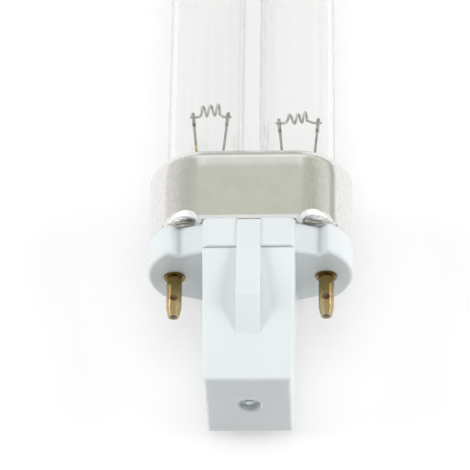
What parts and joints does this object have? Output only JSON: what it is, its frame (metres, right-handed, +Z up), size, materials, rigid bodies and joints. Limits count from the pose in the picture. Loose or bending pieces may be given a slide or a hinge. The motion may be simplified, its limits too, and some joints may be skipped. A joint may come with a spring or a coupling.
{
  "type": "uv-c lamp",
  "caption": "Clear twin-tube ultraviolet germicidal lamp with an aluminium cap shell, a white plug-in base with a latching post, and brass contact pins.",
  "frame": {"origin": "middle of the lamp's length and width, on the surface it lies on", "axes": "+Y along the lamp from the post to the tips of the tubes, +Z up from the face it lies on, +X across the two tubes and the two pins"},
  "size_m": [0.0312, 0.166, 0.0203],
  "materials": {
    "clear_glass": "gloss",
    "polished_aluminium": "polished",
    "white_plastic": "satin",
    "cement": "matte",
    "starter_glass": "gloss",
    "capacitor_resin": "gloss",
    "brass": "worn",
    "solder": "dull",
    "tungsten": "dull",
    "tinned_sleeve": "satin",
    "tinned_wire": "satin",
    "support_wire": "satin",
    "copper_lead": "satin"
  },
  "bodies": {
    "root": {"base": "white_plastic", "basing_cement": "cement", "cap_shell": "polished_aluminium", "capacitor": "capacitor_resin", "capacitor_lead_left": "tinned_wire", "capacitor_lead_right": "tinned_wire", "contact_pin_left": "brass", "contact_pin_right": "brass", "filament_left": "tungsten", "filament_right": "tungsten", "glass_tube": "clear_glass", "lead_wire_left_inner": "copper_lead", "lead_wire_left_outer": "copper_lead", "lead_wire_right_inner": "copper_lead", "lead_wire_right_outer": "copper_lead", "pin_solder_left": "solder", "pin_solder_right": "solder", "splice_sleeve_left": "tinned_sleeve", "splice_sleeve_right": "tinned_sleeve", "starter_bulb": "starter_glass", "starter_lead_left": "tinned_wire", "starter_lead_right": "tinned_wire", "support_wire_left_inner": "support_wire", "support_wire_left_outer": "support_wire", "support_wire_right_inner": "support_wire", "support_wire_right_outer": "support_wire"}
  },
  "joints": []
}
